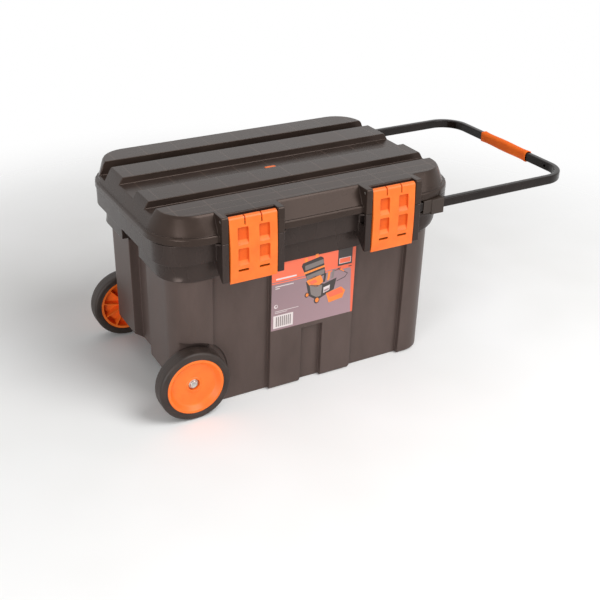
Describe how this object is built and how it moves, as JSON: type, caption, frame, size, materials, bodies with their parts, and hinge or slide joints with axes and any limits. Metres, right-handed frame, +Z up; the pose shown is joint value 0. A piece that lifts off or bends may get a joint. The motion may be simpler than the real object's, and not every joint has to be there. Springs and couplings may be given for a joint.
{
  "type": "wheeled tool chest",
  "caption": "Moulded tool chest on wheels with a hinged ridged lid, front latches, a pull handle that slides along the chest and a lift-out tray inside.",
  "frame": {"origin": "floor level under the middle of the lid rim, on the flat underside of the tub", "axes": "+X towards the pull handle, with the wheels at -X; -Y is the latch side; +Z up"},
  "size_m": [0.9125, 0.4351, 0.399],
  "materials": {
    "tub_plastic": "fine moulded grain",
    "lid_plastic": "satin moulded",
    "trim_plastic": "satin moulded",
    "orange_plastic": "satin moulded",
    "tyre_rubber": "matt",
    "painted_tube": "satin black",
    "zinc_steel": "bright zinc",
    "label_film": "printed film"
  },
  "bodies": {
    "tub": {"tub": "tub_plastic", "label": "label_film", "axle": "zinc_steel", "axle_cap_front": "zinc_steel", "axle_cap_rear": "zinc_steel", "handle_guide_front": "trim_plastic", "handle_guide_rear": "trim_plastic", "guide_screws": "zinc_steel", "hinge_pin_left": "zinc_steel", "hinge_pin_right": "zinc_steel", "tray": "orange_plastic", "tray_handle": "orange_plastic"},
    "wheel_front": {"tyre_front": "tyre_rubber", "hub_front": "orange_plastic"},
    "wheel_rear": {"tyre_rear": "tyre_rubber", "hub_rear": "orange_plastic"},
    "lid": {"lid": "lid_plastic", "lid_badge": "orange_plastic", "latch_pin_left": "zinc_steel", "latch_pin_right": "zinc_steel", "tool_rack": "orange_plastic", "rack_screws": "zinc_steel"},
    "latch_left": {"latch_left": "orange_plastic"},
    "latch_right": {"latch_right": "orange_plastic"},
    "handle": {"handle_tube": "painted_tube", "handle_grip": "orange_plastic", "handle_plug_front": "trim_plastic", "handle_plug_rear": "trim_plastic"}
  },
  "joints": [
    {"name": "lid_hinge", "type": "hinge", "parent": "tub", "child": "lid", "pos_m": [0, 0.213, 0.359], "axis": [-1, 0, 0], "range_deg": [0, 100]},
    {"name": "latch_left_hinge", "type": "hinge", "parent": "lid", "child": "latch_left", "pos_m": [-0.144, -0.2045, 0.3904], "axis": [-1, 0, 0], "range_deg": [0, 115]},
    {"name": "latch_right_hinge", "type": "hinge", "parent": "lid", "child": "latch_right", "pos_m": [0.144, -0.2045, 0.3904], "axis": [-1, 0, 0], "range_deg": [0, 115]},
    {"name": "wheel_front_spin", "type": "hinge", "parent": "tub", "child": "wheel_front", "pos_m": [-0.253, -0.1785, 0.0695], "axis": [0, 1, 0], "continuous": true},
    {"name": "wheel_rear_spin", "type": "hinge", "parent": "tub", "child": "wheel_rear", "pos_m": [-0.253, 0.1785, 0.0695], "axis": [0, 1, 0], "continuous": true},
    {"name": "handle_slide", "type": "slide", "parent": "tub", "child": "handle", "axis": [1, 0, 0], "range_m": [-0.25, 0]}
  ]
}
